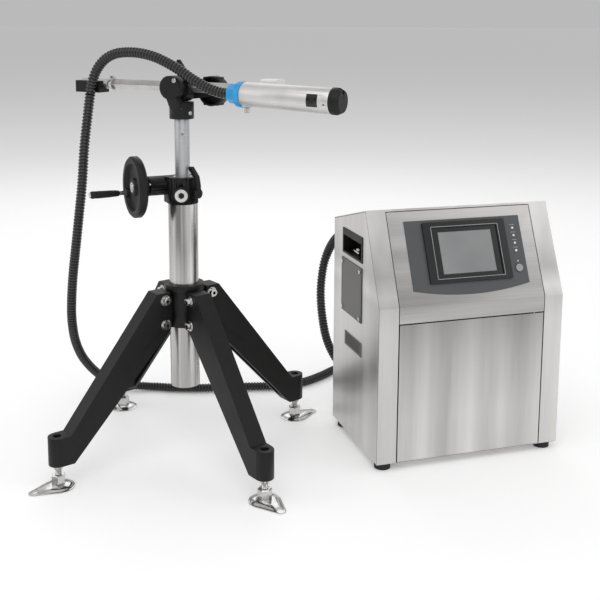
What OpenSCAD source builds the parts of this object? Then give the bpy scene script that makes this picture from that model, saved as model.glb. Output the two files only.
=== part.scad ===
// Date code inkjet printer: an ink cabinet, a four-legged mast stand with a geared lift,
// a cross clamp with its arm, and a print head fed by one corrugated umbilical hose.
// Millimetres, +Z up. The origin lies on the floor under the middle of the whole outline.
// The cabinet's door faces -Y, and the stand is on its left.

/* [Layout] */
// Distance of the mast's axis to the left of the origin
mast_x = 178; // [170:1:186]
// Left side of the cabinet, to the right of the origin
cabinet_left = 109; // [105:1:116]
// How far the cabinet's front lies in front of the mast's axis
cabinet_front = 186; // [180:1:192]
// Turn of the first leg from the left towards the front
leg_turn = 20; // [16:1:24]
// Turn of the arm from the right towards the front
arm_turn = 45; // [42:1:48]

/* [Cabinet] */
// Width of the cabinet
cabinet_w = 342; // [340:1:346]
// Depth of the cabinet
cabinet_d = 224; // [220:1:228]
// Height of the rubber feet
cabinet_foot_h = 12; // [10:1:14]
// Height of the ridge at the top of the console
ridge_z = 435; // [433:1:437]
// How far the ridge lies behind the front
ridge_y = 70; // [68:1:72]
// Height of the top edge at the back
back_z = 395; // [393:1:397]
// Height of the fold between the console and the front
fold_z = 282.5; // [281:0.5:284]
// Width of the two front posts
post_w = 35; // [34:0.5:36]
// Thickness of the sheet
sheet = 2; // [1.5:0.5:2]
// Height of the door's top edge
door_top = 253; // [251:1:254]

/* [Stand] */
// Outer diameter of the mast tube
tube_d = 50; // [49:0.5:50]
// Height of the mast tube's lower end
tube_bottom = 122; // [116:1:126]
// Height of the mast tube's upper end
tube_top = 443; // [441:1:445]
// Height of the hub's underside
hub_bottom = 231; // [229:1:233]
// Height of the hub's top ring
hub_top = 304; // [302:1:306]
// Radius of the circle on which the levelling feet stand
foot_radius = 239.5; // [236:0.5:243]
// Width of a leg
leg_w = 31; // [30:0.5:32]

/* [Lift] */
// Diameter of the lift rod
rod_d = 25; // [24:0.5:25]
// Height of the lift head's machined top face
lift_top = 488; // [486:1:490]
// Height of the pinion shaft
shaft_z = 471; // [470:0.5:472]
// Turn of the pinion shaft past the left-hand side
shaft_turn = 9; // [0:1:12]
// Diameter of the handwheel
wheel_d = 104; // [100:1:106]
// Teeth on the pinion, module 1
pinion_teeth = 20; // [20:1:20]

/* [Arm and head] */
// Height of the arm bar's axis
arm_z = 639; // [637:1:641]
// Side of the square arm bar, which lies on its edge
bar_side = 12.7; // [12:0.1:12.7]
// Reach of the bar to the left of the mast
bar_back = 210; // [205:1:212]
// Reach of the bar to the right of the mast
bar_front = 196; // [192:1:198]
// Diameter of the print head
head_d = 40; // [40:0.5:40]
// Start of the print head, along the arm
head_start = 140; // [138:1:142]
// End of the print head's tube, along the arm
head_end = 295; // [293:1:297]
// Downward tilt of the print head
head_tilt = 1.5; // [0:0.5:2]

/* [Hose] */
// Outer diameter of the corrugated hose
hose_d = 18; // [17:0.5:18]

/* [Hidden] */
$fn = 48;

gap = 0.4;                          // clearance between parts that move past each other
running = 0.05;                     // radial clearance of a shaft in its hole
slope_len = norm([ridge_y, ridge_z - fold_z]);
slope_angle = atan2(ridge_y, ridge_z - fold_z);
console_w = cabinet_w - 2 * post_w;
panel_len = slope_len - 5;
door_bottom = 14;
door_d = 18;                        // depth of the door's folded pan
door_gap = 1.8;                     // between the door and the posts
panel_gap = 1;                      // between the console and the posts
hinge_x = cabinet_w - post_w - door_gap - 16;
hinge_y = 4.6;
pin_r = 2.2;
gland_x = 39;                       // hose outlet, from the cabinet's left side
gland_z = 350;
fan_x = 250;
fan_z = 250;
fan_screw = 32;
rocker_pin_r = 1.5;
lamp_rows = [122.7, 109.4, 96, 82.6];

leg_wall = 6;
fin_w = leg_w - 2 * leg_wall - 0.1; // web of the hub that a leg straddles
leg_inner = 36;
leg_top = 295;
boss_r = 15;
boss_top = 87;
boss_bottom = 39;
leg_screw_x = 46;
leg_screw_z = [240, 282];
stud_r = 5.5;
hex_top = 22;                       // top of the levelling foot's hexagon

rack_pitch_y = rod_d / 2 + 1;       // pitch line of the rack, behind the rod's axis
pinion_r = pinion_teeth / 2;
shaft_y = rack_pitch_y + pinion_r;
shaft_r = 6;
wheel_in = 68;                      // handwheel's hub side and face, along the shaft
wheel_out = 83;
crank_r = 40;
crank_angle = 112;                  // turn of the crank pin from the wheel's top to the rear
crank_in = 93.4;                    // ends of the crank handle, along the shaft
crank_out = 143;
lock_turn = -55;                    // heading and height of the lift lock's screw
lock_z = 462;
plug_turn = -105;                   // heading and height of the lift head's plug
plug_z = 460;
rod_top = 608;
rod_len = 380;
rod_bottom = rod_top - rod_len;
tooth = PI;                         // pitch of the rack's teeth
tooth_count = floor((rod_len - 66) / tooth);
first_tooth = shaft_z - 1.4 - tooth * floor((shaft_z - 1.4 - rod_bottom - 2) / tooth);
socket_bottom = 586;
pivot_y = -35;                      // front face of the clamp's disc
disc_r = 19.5;
knob_x = 46;
knob_z = -7;
head_y = -30;                       // head's axis in front of the bar
head_z = -8;
clip_x = [-212, -160];
clip_y = -22;
clip_z = [-15, 5];
clip_hose_x = -170.8;
gland_len = 26;

// Route of the hose from the cabinet's gland, over the floor and up to the clip
umbilical_route = [
    [148, 64, 350], [148, 80, 350], [146, 112, 343], [141, 137, 324], [134, 152, 297],
    [127, 155, 268], [121, 150, 223], [124, 147, 171], [136, 147, 118], [163, 147, 70],
    [205, 144, 30], [243, 144, 12], [279, 155, 9], [305, 182, 9], [315, 219, 9],
    [305, 256, 9], [278, 283, 9], [240, 293, 9], [200, 281, 9], [156, 251, 9],
    [110, 228, 9], [62, 222, 9], [10, 233, 9], [-44, 246, 9], [-98, 256, 9],
    [-150, 273, 9], [-196, 294, 9], [-248, 302, 17], [-292, 289, 42], [-327, 261, 88],
    [-346, 232, 136], [-354, 205, 186], [-355, 186, 232], [-352, 170, 286],
    [-346, 152, 348], [-340, 140, 405], [-334, 130, 462], [-329, 121, 528],
    [-322, 115, 585], [-317.4, 108.4, 621.8]
];
// Route of the hose from the clip over the arm to the head's gland, in the arm's own frame
arm_route = [
    [-175, -22, -16], [-170, -22, 3], [-159.5, -22, 24], [-143, -22.5, 41],
    [-122, -23, 51.5], [-98, -24, 55.5], [-66, -25, 55], [-32, -26, 48.5], [4, -28, 35],
    [22, -28.5, 26], [40, -29, 16], [57, -29.5, 8], [74, -30, 1], [96, -30, -4.8],
    [114, -30, -5.3]
];

// ---- Frames of reference

module at_cabinet() translate([cabinet_left, -cabinet_front, 0]) children();

// X runs across the console, Y up its slope and Z out of it, from the fold's left end
module at_console() at_cabinet() translate([0, 0, fold_z]) rotate([90 - slope_angle, 0, 0]) children();

module at_mast() translate([-mast_x, 0, 0]) children();

// X points outwards along leg k
module at_leg(k) at_mast() rotate(180 + leg_turn + 90 * k) children();

// X points out of the lift head along the pinion shaft
module at_shaft() at_mast() translate([0, 0, shaft_z]) rotate(180 + shaft_turn)
    translate([0, -shaft_y, 0]) rotate([0, 90, 0]) rotate(90) children();

// X runs along the arm towards the head, Y away from it at the back
module at_arm() at_mast() translate([0, 0, arm_z]) rotate(-arm_turn) children();

// Z runs along the print head towards its nose, from the head's rear end
module at_head() at_arm() translate([(head_start + head_end) / 2, head_y, head_z])
    rotate([0, head_tilt, 0]) translate([(head_start - head_end) / 2, 0, 0])
    rotate([0, 90, 0]) children();

// ---- Shared shapes

module rod_along_y(r, from, to) translate([0, from, 0]) rotate([-90, 0, 0]) cylinder(r = r, h = to - from);

module ring(r_out, r_in, h) difference() {
    cylinder(r = r_out, h = h);
    translate([0, 0, -1]) cylinder(r = r_in, h = h + 2);
}

module rounded_plate(w, l, h, r) linear_extrude(h) offset(r) offset(-r) square([w, l]);

// Socket-head screw whose head sits on z = 0 and whose shank runs down
module socket_screw(head_r, head_h, shank_r, shank_l) difference() {
    union() {
        cylinder(r = head_r, h = head_h);
        translate([0, 0, -shank_l]) cylinder(r = shank_r, h = shank_l + 0.1);
    }
    translate([0, 0, head_h * 0.45]) cylinder(r = head_r * 0.52, h = head_h, $fn = 6);
}

// ---- Hose swept along a route

function unit(v) = v / norm(v);
function tangent(p, i) = unit(p[min(i + 1, len(p) - 1)] - p[max(i - 1, 0)]);
function across(n, t) = unit(n - (n * t) * t);
function normals(p, i, n) = i >= len(p) ? [] : let(m = across(n, tangent(p, i)))
    concat([m], normals(p, i + 1, m));

module swept_hose(route, r, sides) {
    side = normals(route, 0, [0, 0.1, 1]);
    rings = [for (i = [0:len(route) - 1]) let(t = tangent(route, i), u = side[i], v = cross(t, u))
        for (k = [0:sides - 1]) route[i] + r * (cos(360 * k / sides) * u + sin(360 * k / sides) * v)];
    last = (len(route) - 1) * sides;
    walls = [for (i = [0:len(route) - 2]) for (k = [0:sides - 1]) let(a = i * sides, n = (k + 1) % sides)
        each [[a + k, a + sides + k, a + sides + n], [a + k, a + sides + n, a + n]]];
    start_cap = [[for (k = [0:sides - 1]) k]];
    end_cap = [[for (k = [sides - 1:-1:0]) last + k]];
    polyhedron(rings, concat(walls, start_cap, end_cap), convexity = 10);
}

// ---- Cabinet

module cabinet_section(inset) {
    s = inset;
    lean = s / cos(slope_angle) - s * tan(slope_angle);
    polygon([
        [s, cabinet_foot_h + 1 + s], [cabinet_d - s, cabinet_foot_h + 1 + s], [cabinet_d - s, back_z - s],
        [ridge_y + s * 0.4, ridge_z - s * 1.25], [s, fold_z + lean - s]
    ]);
}

module cabinet_body(inset, from, to) translate([from, 0, 0]) rotate([90, 0, 90])
    linear_extrude(to - from) cabinet_section(inset);

module cabinet_shell() color("silver") at_cabinet() difference() {
    cabinet_body(0, 0, cabinet_w);
    cabinet_body(sheet, sheet, cabinet_w - sheet);
    // front opening for the door, the strip and the console
    translate([post_w, -1, door_bottom - 0.4]) cube([console_w, ridge_y - 20, fold_z - door_bottom + 0.4]);
    translate([post_w, 0, fold_z]) rotate([90 - slope_angle, 0, 0])
        translate([0, -30, -30]) cube([console_w, slope_len + 30 - 4, 60]);
    // handle pockets through both sides
    translate([-1, 81, 342]) cube([cabinet_w + 2, 94, 43.5]);
    // vent, gland hole, fan hole, power inlet and switch
    translate([-1, 82, 177]) cube([sheet + 2, 77, 21]);
    translate([gland_x, 0, gland_z]) rod_along_y(12, cabinet_d - sheet - 1, cabinet_d + 1);
    translate([fan_x, 0, fan_z]) rod_along_y(37, cabinet_d - sheet - 1, cabinet_d + 1);
    fan_screw_places() rod_along_y(1.45, -sheet - 1, 1);
    translate([216, cabinet_d - sheet - 1, 60]) cube([74, sheet + 2, 30]);
}

module fan_screw_places() for (x = [-1, 1], z = [-1, 1])
    translate([fan_x + x * fan_screw, cabinet_d, fan_z + z * fan_screw]) children();

module console_profile() polygon([
    [0, door_top + 2], [0, fold_z],
    [panel_len * sin(slope_angle), fold_z + panel_len * cos(slope_angle)],
    [
        panel_len * sin(slope_angle) + sheet * cos(slope_angle),
        fold_z + panel_len * cos(slope_angle) - sheet * sin(slope_angle)
    ],
    [sheet, fold_z - sheet * tan(slope_angle / 2)], [sheet, door_top + 2]
]);

module console_panel() color("silver") difference() {
    at_cabinet() translate([post_w + panel_gap, 0, 0]) rotate([90, 0, 90])
        linear_extrude(console_w - 2 * panel_gap) console_profile();
    at_console() {
        translate([100, 42, -sheet - 1]) cube([146, 92, sheet + 2]);
        for (v = lamp_rows) translate([266, v, -sheet - 1]) cylinder(r = 2.1, h = sheet + 2);
        translate([266, 52, -sheet - 1]) cylinder(r = 7, h = sheet + 2);
    }
}

module front_door() color("silver") at_cabinet() difference() {
    translate([post_w + door_gap, 0, door_bottom])
        cube([console_w - 2 * door_gap, door_d, door_top - door_bottom]);
    translate([post_w + door_gap + sheet, sheet, door_bottom + sheet])
        cube([console_w - 2 * door_gap - 2 * sheet, door_d, door_top - door_bottom - 2 * sheet]);
    translate([hinge_x, hinge_y, 0]) cylinder(r = pin_r + running, h = door_top + 1);
}

module control_overlay() color("dimgray") at_console() difference() {
    linear_extrude(1.2) difference() {
        union() {
            translate([64.5, 28]) square([217, 117]);
            intersection() {
                translate([64.5, 14]) square([217, 15]);
                translate([173, 514]) circle(r = 500, $fn = 180);
            }
        }
        translate([104, 43]) square([138, 90]);
    }
    for (v = lamp_rows) translate([266, v, -1]) cylinder(r = 2.1, h = 4);
    translate([266, 52, -1]) cylinder(r = 7, h = 4);
}

module screen_bezel() color([0.08, 0.08, 0.09]) at_console() translate([96, 35, 1.2]) difference() {
    rounded_plate(154, 105, 4, 2);
    translate([16, 9, -1]) cube([122, 86, 6]);
}

module touch_screen() color([0.55, 0.6, 0.6]) at_console() translate([112.2, 44.2, -6])
    cube([121.6, 85.6, 8.4]);

module status_lamps() color("white") at_console() for (v = lamp_rows)
    translate([266, v, -3]) cylinder(r = 2, h = 4.9);

module power_button() color("gray") at_console() translate([266, 52, 0]) {
    translate([0, 0, -3]) cylinder(r = 6.6, h = 6.2);
    translate([0, 0, -12]) cylinder(r = 3, h = 9.1);
}

module side_handle() difference() {
    union() {
        translate([-1.5, 80, 341]) cube([1.5, 96, 45.5]);
        translate([0, 81.3, 342.3]) cube([26, 93.4, 42.9]);
    }
    translate([-2, 84, 345]) cube([26, 88, 29]);
    translate([6, 84, 345]) cube([18, 88, 37.5]);
}

module side_handles() color([0.09, 0.09, 0.09]) at_cabinet() {
    side_handle();
    translate([cabinet_w, 0, 0]) mirror([1, 0, 0]) side_handle();
}

module side_plate() color("gray") at_cabinet() difference() {
    translate([-1.5, 81, 235]) cube([1.5, 99, 97]);
    for (y = [88, 173], z = [242, 325]) translate([-3, y, z]) rotate([0, 90, 0]) cylinder(r = 1.7, h = 5);
}

module cabinet_fasteners() color("lightgray") at_cabinet() {
    for (y = [88, 173], z = [242, 325]) translate([-1.5, y, z]) rotate([0, -90, 0])
        socket_screw(3.2, 1.8, 1.5, 1.5);
    fan_screw_places() rotate([-90, 0, 0]) socket_screw(2.8, 1.6, 1.4, 1.8);
    // door hinge: upper pin with its bracket, and lower pin
    translate([hinge_x, hinge_y, door_top - 8]) cylinder(r = pin_r, h = 12);
    translate([hinge_x - 8, sheet, door_top + 2]) cube([16, 16, 2]);
    translate([hinge_x, hinge_y, door_bottom - 0.4]) cylinder(r = pin_r, h = 8);
}

module side_vent() color("darkgray") at_cabinet() difference() {
    union() {
        translate([-1, 80, 175]) cube([1, 81, 25]);
        translate([-0.1, 82.3, 177.3]) cube([3, 76.4, 20.4]);
    }
    for (z = [179.5:4:195.5]) translate([-2, 86, z]) cube([8, 69, 2]);
}

module rubber_feet() color([0.12, 0.12, 0.12]) at_cabinet()
    for (x = [18, cabinet_w - 18], y = [20, cabinet_d - 20]) translate([x, y, 0]) difference() {
        cylinder(r = 14, h = cabinet_foot_h + 1);
        translate([0, 0, -1]) cylinder(r = 4, h = 5);
    }

module tank(x, w, cap_r) at_cabinet() translate([x, 70, cabinet_foot_h + 3 + gap]) {
    rounded_plate(w, 100, 130, 10);
    translate([w / 2, 35, 130]) cylinder(r = cap_r - 3, h = 8);
    translate([w / 2, 35, 138]) cylinder(r = cap_r, h = 16);
}

module ink_tank() color([0.15, 0.18, 0.35]) tank(40, 90, 20);

module solvent_tank() color("whitesmoke") tank(150, 90, 20);

module ink_pump() color("dimgray") at_cabinet() translate([285, 110, cabinet_foot_h + 3 + gap]) {
    translate([-22, -26, 0]) cube([44, 52, 40]);
    translate([0, 0, 40]) cylinder(r = 20, h = 62);
    translate([0, 0, 102]) cylinder(r = 8, h = 12);
}

module control_board() color("darkgreen") at_cabinet() {
    translate([40, cabinet_d - 22, 120]) cube([170, 2, 190]);
    for (x = [46, 204], z = [126, 304]) translate([x, cabinet_d - 20, z]) rotate([-90, 0, 0])
        cylinder(r = 3, h = 20 - sheet);
    for (x = [60, 110, 160]) translate([x, cabinet_d - 28, 160]) cube([28, 6, 34]);
}

module power_supply() color("lightgray") at_cabinet() translate([216, cabinet_d - sheet - 46, 110])
    cube([90, 46, 90]);

module fan_frame() color([0.1, 0.1, 0.1]) at_cabinet() translate([fan_x, cabinet_d - sheet - 25, fan_z])
    rotate([-90, 0, 0]) difference() {
    translate([-40, -40, 0]) cube([80, 80, 25]);
    difference() {
        translate([0, 0, -1]) cylinder(r = 37.5, h = 27);
        for (a = [45, 135]) rotate(a) translate([-39, -2, 22]) cube([78, 4, 3]);
        translate([0, 0, 21]) cylinder(r = 14, h = 4);
        cylinder(r = 2.5, h = 22);
    }
}

module fan_rotor() color([0.2, 0.2, 0.2]) at_cabinet() translate([fan_x, cabinet_d - sheet - 25, fan_z])
    rotate([-90, 0, 0]) {
    translate([0, 0, 2]) ring(15, 2.5 + running, 18);
    for (a = [0:51.5:309]) rotate(a) translate([14, -1, 3]) rotate([25, 0, 0]) cube([21.5, 1.6, 15]);
}

module power_inlet() color([0.1, 0.1, 0.1]) at_cabinet() translate([216, cabinet_d - sheet, 60]) difference() {
    union() {
        translate([-4, sheet, -4]) cube([82, 2, 38]);
        translate([0.3, -16, 0.3]) cube([73.4, 16 + sheet + 0.1, 29.4]);
    }
    translate([5, -8, 5]) cube([28, 30, 20]);
    translate([42, -12, 3.5]) cube([26, 34, 23]);
    translate([40, 0, 15]) rotate([0, 90, 0]) cylinder(r = rocker_pin_r + running, h = 30);
}

module mains_switch() color("firebrick") at_cabinet() translate([216 + 55, cabinet_d - sheet, 75]) {
    rotate([7, 0, 0]) translate([-11, -4, -10]) cube([22, 8, 20]);
    translate([-14.5, 0, 0]) rotate([0, 90, 0]) cylinder(r = rocker_pin_r, h = 29);
}

module cabinet_gland() color([0.1, 0.1, 0.1]) at_cabinet() translate([gland_x, cabinet_d, gland_z])
    rotate([-90, 0, 0]) {
    translate([0, 0, -12]) cylinder(r = 11.6, h = 12.1);
    translate([0, 0, -6]) cylinder(r = 17, h = 4, $fn = 6);
    cylinder(r = 17, h = 8, $fn = 6);
    translate([0, 0, 8]) cylinder(r = 13, h = gland_len - 8);
}

// ---- Stand

module mast_tube() color("silver") at_mast() translate([0, 0, tube_bottom])
    ring(tube_d / 2, 21.5, tube_top - tube_bottom);

module hub() color([0.1, 0.1, 0.1]) {
    at_mast() difference() {
        union() {
            translate([0, 0, hub_bottom]) cylinder(r = 31, h = hub_top - hub_bottom);
            translate([0, 0, hub_top - 11]) cylinder(r = 34, h = 11);
            for (k = [0:3]) rotate(180 + leg_turn + 90 * k)
                translate([20, -fin_w / 2, hub_bottom]) cube([37, fin_w, leg_top - hub_bottom - 8]);
        }
        translate([0, 0, hub_bottom - 1]) cylinder(r = tube_d / 2 + 0.02, h = hub_top - hub_bottom + 2);
        for (k = [0:3], z = leg_screw_z) rotate(180 + leg_turn + 90 * k)
            translate([leg_screw_x, 0, z]) rod_along_y(4.2, -20, 20);
    }
}

module leg_outline() polygon([
    [leg_inner, hub_bottom], [217, boss_bottom], [foot_radius, boss_bottom], [foot_radius, boss_top],
    [222, boss_top], [61, leg_top], [leg_inner, leg_top]
]);

module leg(k) color([0.12, 0.12, 0.12]) at_leg(k) difference() {
    union() {
        rotate([90, 0, 0]) translate([0, 0, -leg_w / 2]) linear_extrude(leg_w) leg_outline();
        translate([foot_radius, 0, boss_bottom]) cylinder(r = boss_r, h = boss_top - boss_bottom);
    }
    // channel open at the bottom and at the hub
    rotate([90, 0, 0]) translate([0, 0, leg_wall - leg_w / 2]) linear_extrude(leg_w - 2 * leg_wall) polygon([
        [0, 200], [leg_inner, hub_bottom - 40], [206, boss_bottom - 30], [206, boss_top + 9],
        [58, leg_top - 8], [0, leg_top - 8]
    ]);
    translate([foot_radius, 0, boss_bottom - 1]) cylinder(r = stud_r + running, h = boss_top - boss_bottom + 2);
    translate([foot_radius, 0, boss_top - 12]) cylinder(r = 6.8, h = 13);
    for (z = leg_screw_z) translate([leg_screw_x, 0, z]) rod_along_y(4.2, -leg_w, leg_w);
    // root of the cheeks cleared around the hub's barrel
    translate([0, 0, hub_bottom - 1]) cylinder(r = 34.4, h = 80);
}

module leg_1() leg(0);

module leg_2() leg(1);

module leg_3() leg(2);

module leg_4() leg(3);

module stand_fasteners() color("gainsboro") for (k = [0:3]) at_leg(k) {
    for (z = leg_screw_z) translate([leg_screw_x, 0, z]) {
        translate([0, leg_w / 2 + 1.5, 0]) rotate([-90, 0, 0]) socket_screw(6, 7, 4, leg_w + 3);
        for (y = [-leg_w / 2 - 1.5, leg_w / 2]) rod_ring(9, 4.1, y, 1.5);
        translate([0, -leg_w / 2 - 1.5, 0]) rotate([90, 0, 0]) socket_screw(6, 7, 4, 0.2);
    }
    // conical jam nut of the levelling stud
    translate([foot_radius, 0, boss_bottom - 7]) difference() {
        cylinder(r1 = 7.5, r2 = 10.5, h = 6.9);
        translate([0, 0, -1]) cylinder(r = stud_r + running, h = 9);
    }
}

module rod_ring(r_out, r_in, y, h) translate([0, y, 0]) rotate([-90, 0, 0]) ring(r_out, r_in, h);

module levelling_foot(k) color("gainsboro") at_leg(k) translate([foot_radius, 0, 0]) {
    // teardrop plate with its anchoring hole
    difference() {
        union() {
            linear_extrude(4) hull() {
                circle(r = 26);
                translate([42, 0]) circle(r = 9);
            }
            translate([0, 0, 3.9]) cylinder(r1 = 21, r2 = 13, h = 2.6);
        }
        translate([42, 0, -1]) cylinder(r = 5, h = 8);
        translate([0, 0, -1]) cylinder(r = 7, h = 4);
    }
    // hexagon and stud
    translate([0, 0, 6.5]) cylinder(r = 11.8, h = hex_top - 6.5, $fn = 6);
    translate([0, 0, hex_top]) cylinder(r = stud_r, h = 50);
}

module levelling_foot_1() levelling_foot(0);

module levelling_foot_2() levelling_foot(1);

module levelling_foot_3() levelling_foot(2);

module levelling_foot_4() levelling_foot(3);

// ---- Lift

module at_lock() at_mast() rotate(lock_turn) translate([0, 0, lock_z]) rotate([0, 90, 0]) children();

module at_plug() at_mast() rotate(plug_turn) translate([0, 0, plug_z]) rotate([0, 90, 0]) children();

module lift_head() color([0.1, 0.1, 0.1]) difference() {
    union() {
        at_mast() translate([0, 0, tube_top]) cylinder(r = tube_d / 2 + 1, h = lift_top - tube_top);
        at_mast() translate([0, 0, tube_top - 30]) cylinder(r = 21.5, h = 31);
        at_shaft() translate([0, 0, -30]) cylinder(r = 16.6, h = 83);
        at_mast() rotate(180 + shaft_turn) translate([-25.5, -shaft_y, tube_top])
            cube([51, shaft_y, lift_top - tube_top - 1]);
        at_plug() cylinder(r = 14, h = 31);
        at_lock() cylinder(r = 10, h = 29);
    }
    at_mast() translate([0, 0, tube_top - 31]) cylinder(r = 16, h = lift_top - tube_top + 40);
    // pinion chamber and shaft bore
    at_shaft() translate([0, 0, -13]) cylinder(r = pinion_r + 2, h = 26);
    at_shaft() translate([0, 0, -31]) cylinder(r = shaft_r + running, h = 90);
    at_lock() translate([0, 0, 18]) cylinder(r = 4 + running, h = 20);
    at_plug() translate([0, 0, 10]) cylinder(r = 8.2, h = 24);
}

module rack_slot(clear) translate([-4 - clear, 0, -200]) cube([8 + 2 * clear, 16 + clear, 1200]);

module rod_bush() color("silver") at_mast() difference() {
    translate([0, 0, tube_top - 30]) cylinder(r = 15.98, h = lift_top - tube_top + 30);
    translate([0, 0, tube_top - 31]) cylinder(r = rod_d / 2 + running, h = lift_top - tube_top + 40);
    rotate(shaft_turn) rack_slot(0.5);
    rotate(shaft_turn) translate([-14, 8, shaft_z - 14]) cube([28, 12, 30]);
}

module lift_rod() color("darkgray") at_mast() difference() {
    translate([0, 0, rod_bottom]) cylinder(r = rod_d / 2, h = rod_len);
    rotate(shaft_turn) translate([-3.1, rod_d / 2 - 4, rod_bottom - 1]) cube([6.2, 10, rod_len - 60]);
    rotate(-98) translate([8, 0, 561]) rotate([0, 90, 0]) cylinder(r = 2, h = 6);
}

module lift_rack() color("slategray") at_mast() rotate(shaft_turn) {
    translate([-3, rod_d / 2 - 4, rod_bottom]) cube([6, 3.7, rod_len - 62]);
    for (i = [0:tooth_count - 1]) translate([0, 0, first_tooth + i * tooth])
        rotate([90, 0, 90]) linear_extrude(6, center = true) polygon([
            [rod_d / 2 - 0.4, 0.3], [rod_d / 2 + 1.6, 0.85], [rod_d / 2 + 1.6, 1.95], [rod_d / 2 - 0.4, 2.5]
        ]);
}

module pinion_shaft() color("lightgray") at_shaft() {
    translate([0, 0, -34]) cylinder(r = shaft_r, h = 34 + wheel_out - 2);
    for (i = [0:pinion_teeth - 1]) rotate(360 * (i + 0.5) / pinion_teeth) translate([0, 0, -4])
        linear_extrude(8) polygon([
            [5.5, -1.25], [8.8, -1.1], [10.8, -0.42], [10.8, 0.42], [8.8, 1.1], [5.5, 1.25]
        ]);
    translate([0, 0, -4]) cylinder(r = 8.8, h = 8);
    translate([0, 0, 54]) cylinder(r = 11, h = 9);
}

module handwheel() color([0.1, 0.1, 0.1]) at_shaft() difference() {
    union() {
        translate([0, 0, wheel_in]) rotate_extrude($fn = 96) polygon([
            [shaft_r + 0.01, 0], [14, 0], [16, 3], [wheel_d / 2 - 14, 4], [wheel_d / 2 - 12, 0],
            [wheel_d / 2 - 3, 0], [wheel_d / 2, 3], [wheel_d / 2, 12], [wheel_d / 2 - 3, 15],
            [wheel_d / 2 - 11, 15], [wheel_d / 2 - 14, 9], [16, 8], [14, 13], [shaft_r + 0.01, 13]
        ]);
        crank_place() translate([0, 0, wheel_in + 3]) cylinder(r = 8, h = 11.5);
    }
    crank_place() translate([0, 0, wheel_in + 5]) cylinder(r = 4 + 0.01, h = 20);
}

module crank_place() rotate(crank_angle) translate([0, crank_r, 0]) children();

module crank_pin() color("gainsboro") at_shaft() crank_place() {
    translate([0, 0, wheel_in + 5]) cylinder(r = 4, h = crank_in - gap - wheel_in - 5);
    translate([0, 0, crank_in - gap - 1]) cylinder(r = 3, h = crank_out - crank_in + 2 * gap + 1);
    translate([0, 0, crank_out + gap]) cylinder(r = 5, h = 1.6);
}

module crank_handle() color([0.08, 0.08, 0.08]) at_shaft() crank_place() translate([0, 0, crank_in])
    ring(6.4, 3 + running, crank_out - crank_in);

module lift_lock_lever() color([0.08, 0.08, 0.08]) {
    at_lock() translate([0, 0, 19]) cylinder(r = 4, h = 14);
    at_lock() translate([0, 0, 29.4]) cylinder(r = 8, h = 9);
    at_mast() rotate(lock_turn) translate([0, 0, lock_z]) {
        hull() {
            translate([29.6, -5, -3]) cube([8, 10, 17]);
            translate([29.2, -4.2, 27]) cube([6, 8.4, 2]);
        }
        hull() {
            translate([29.2, -4.2, 27]) cube([6, 8.4, 2]);
            translate([17, -3.5, 40]) cube([6, 7, 4]);
        }
    }
}

module lift_screws() color("gainsboro") {
    at_plug() translate([0, 0, 31]) socket_screw(10.7, 3, 8, 14);
    at_shaft() for (a = [20, 140, 260]) rotate(a) translate([14, 0, 53]) socket_screw(2.4, 2.2, 1.2, 0);
}

module clamp_base() color([0.09, 0.09, 0.09]) at_mast() difference() {
    rotate(-arm_turn) union() {
        translate([0, 0, socket_bottom]) cylinder(r = 20.5, h = 28);
        translate([0, 0, arm_z]) rod_along_y(disc_r, pivot_y, -16);
        hull() {
            translate([0, -8, socket_bottom + 8]) cylinder(r = 12.4, h = 18);
            translate([-10, pivot_y + 4, arm_z - 16]) cube([20, 14, 4]);
        }
    }
    translate([0, 0, socket_bottom - 1]) cylinder(r = rod_d / 2 + running, h = rod_top - socket_bottom + 2);
    rotate(-arm_turn) translate([0, 0, arm_z]) rod_along_y(9 + running, -28, -10);
    // the jaw swings clear of the socket
    rotate(-arm_turn) translate([0, 0, arm_z]) rod_along_y(25.4, -16, 30);
}

module bar_profile(grow) rotate([0, 90, 0]) rotate(45)
    translate([-bar_side / 2 - grow, -bar_side / 2 - grow, 0]) children();

module clamp_jaw() color([0.09, 0.09, 0.09]) at_arm() difference() {
    union() {
        rod_along_y(19, -15.6, 14);
        translate([0, -13, -13]) cube([22, 26, 26]);
        // foot of the jaw, which swings in the hollow over the socket
        intersection() {
            rod_along_y(25, -13, 13);
            translate([-6, -14, -26]) cube([32, 28, 26]);
        }
        rod_along_y(9, -27.6, -15);
        hull() {
            translate([8, 11, -20]) cube([10, 5, 20]);
            translate([knob_x, 0, knob_z]) rod_along_y(9, 11, 16);
        }
    }
    bar_profile(0.3) translate([0, 0, -40]) cube([bar_side + 0.6, bar_side + 0.6, 110]);
    translate([knob_x, 0, knob_z]) rod_along_y(4 + running, 5, 30);
    translate([-2, 0, 13.4]) rod_along_y(3 + running, 2, 30);
}

module jaw_lever() color([0.08, 0.08, 0.08]) at_arm() translate([-2, 0, 13.4]) {
    rod_along_y(3, 7, 15);
    rod_along_y(7, 14.4, 26);
    hull() {
        rod_along_y(5, 18, 25);
        translate([-17, 0, 27]) rod_along_y(3.5, 19, 24);
    }
}

module jaw_knob() color([0.08, 0.08, 0.08]) at_arm() translate([knob_x, 0, knob_z]) {
    rod_along_y(4, 10, 34);
    difference() {
        union() {
            rod_along_y(25, 18, 37);
            for (a = [0:60:300]) rotate([0, a, 0]) translate([24.6, 0, 0]) rod_along_y(2.4, 18, 37);
        }
        rod_ring(22, 9, 17, 13);
    }
    rod_along_y(8.6, 16.4, 20);
}

module arm_bar() color("lightgray") at_arm() bar_profile(0) translate([0, 0, -bar_back])
    cube([bar_side, bar_side, bar_back + bar_front]);

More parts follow.
